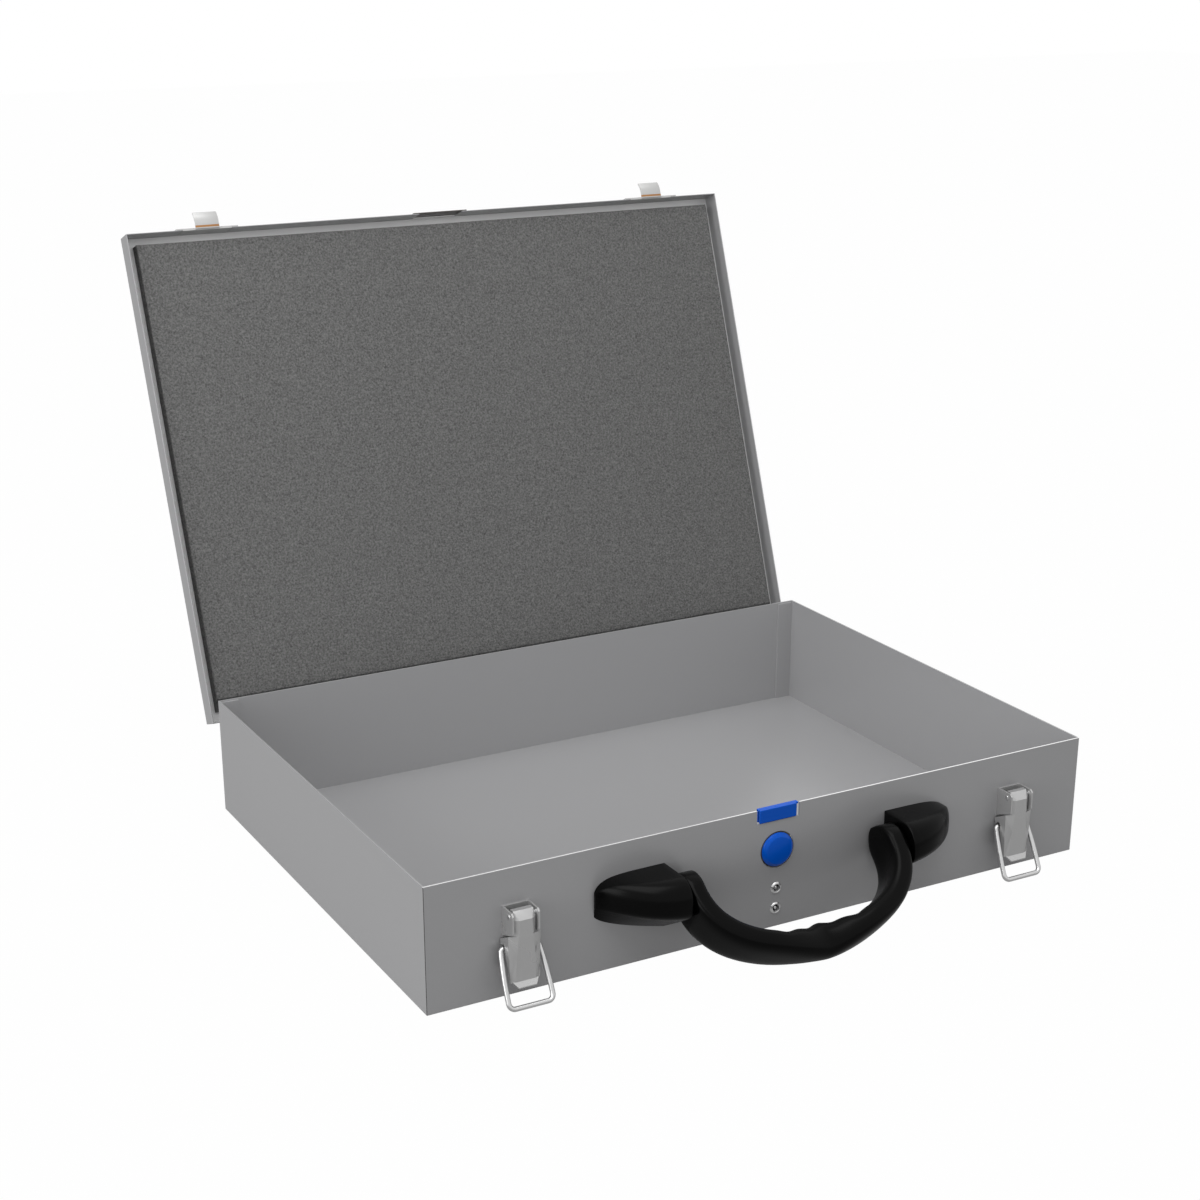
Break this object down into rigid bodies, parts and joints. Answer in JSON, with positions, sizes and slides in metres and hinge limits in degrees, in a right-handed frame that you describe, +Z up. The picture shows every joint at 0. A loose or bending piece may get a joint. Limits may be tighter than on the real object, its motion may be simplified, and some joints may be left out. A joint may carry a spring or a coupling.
{
  "type": "steel organizer case",
  "caption": "Shallow grey sheet-steel case standing open: tray with hinged foam-lined lid, toggle latches with wire bails, black swing handle and blue push-button snap.",
  "frame": {"origin": "centre of the tray's footprint, on the surface that the case stands on", "axes": "+X to the right seen from the front, +Y to the hinges, +Z up"},
  "size_m": [0.442, 0.5058, 0.3644],
  "materials": {
    "grey_steel": "satin grey",
    "grey_foam": "matt open-cell foam",
    "bright_nickel": "bright plated steel",
    "satin_nickel": "satin plated steel",
    "dark_steel": "dark",
    "black_plastic": "satin black",
    "blue_plastic": "gloss blue"
  },
  "bodies": {
    "base": {"base_shell": "grey_steel", "hinge_base_leaf_left": "grey_steel", "hinge_base_leaf_right": "grey_steel", "hinge_pin_left": "bright_nickel", "hinge_pin_right": "bright_nickel", "latch_bracket_left": "satin_nickel", "latch_bracket_right": "satin_nickel", "latch_rivets_left": "bright_nickel", "latch_rivets_right": "bright_nickel", "lever_pin_left": "bright_nickel", "lever_pin_right": "bright_nickel", "handle_cap_left": "black_plastic", "handle_cap_right": "black_plastic", "handle_pin_left": "bright_nickel", "handle_pin_right": "bright_nickel", "handle_plate_left": "bright_nickel", "handle_plate_right": "bright_nickel", "handle_screws_left": "bright_nickel", "handle_screws_right": "bright_nickel", "lock_rivets": "bright_nickel", "lock_spring": "bright_nickel"},
    "lid": {"lid_shell": "grey_steel", "foam_pad": "grey_foam", "hinge_lid_leaf_left": "grey_steel", "hinge_lid_leaf_right": "grey_steel", "catch_left": "bright_nickel", "catch_right": "bright_nickel", "lock_keeper": "dark_steel"},
    "lever_left": {"lever_left": "satin_nickel"},
    "lever_right": {"lever_right": "satin_nickel"},
    "bail_left": {"bail_left": "bright_nickel"},
    "bail_right": {"bail_right": "bright_nickel"},
    "handle": {"handle_grip": "black_plastic"},
    "lock": {"snap_tab": "blue_plastic", "push_button": "blue_plastic"}
  },
  "joints": [
    {"name": "lid_hinge", "type": "hinge", "parent": "base", "child": "lid", "pos_m": [0, 0.1617, 0.0554], "axis": [-1, 0, 0], "range_deg": [-110, 0]},
    {"name": "latch_lever_left", "type": "hinge", "parent": "base", "child": "lever_left", "pos_m": [-0.1668, -0.1666, 0.0509], "axis": [-1, 0, 0], "range_deg": [0, 100]},
    {"name": "latch_bail_left", "type": "hinge", "parent": "lever_left", "child": "bail_left", "pos_m": [-0.1668, -0.1622, 0.0308], "axis": [1, 0, 0], "range_deg": [-152, 0]},
    {"name": "latch_lever_right", "type": "hinge", "parent": "base", "child": "lever_right", "pos_m": [0.1668, -0.1666, 0.0509], "axis": [-1, 0, 0], "range_deg": [0, 100]},
    {"name": "latch_bail_right", "type": "hinge", "parent": "lever_right", "child": "bail_right", "pos_m": [0.1668, -0.1622, 0.0308], "axis": [1, 0, 0], "range_deg": [-152, 0]},
    {"name": "handle_swing", "type": "hinge", "parent": "base", "child": "handle", "pos_m": [0, -0.173, 0.0408], "axis": [-1, 0, 0], "range_deg": [0, 115]},
    {"name": "lock_press", "type": "hinge", "parent": "base", "child": "lock", "pos_m": [0, -0.1566, 0.028], "axis": [-1, 0, 0], "range_deg": [0, 2.1], "stiffness_Nm_per_rad": 4.5, "deforming": ["lock_spring"]}
  ]
}
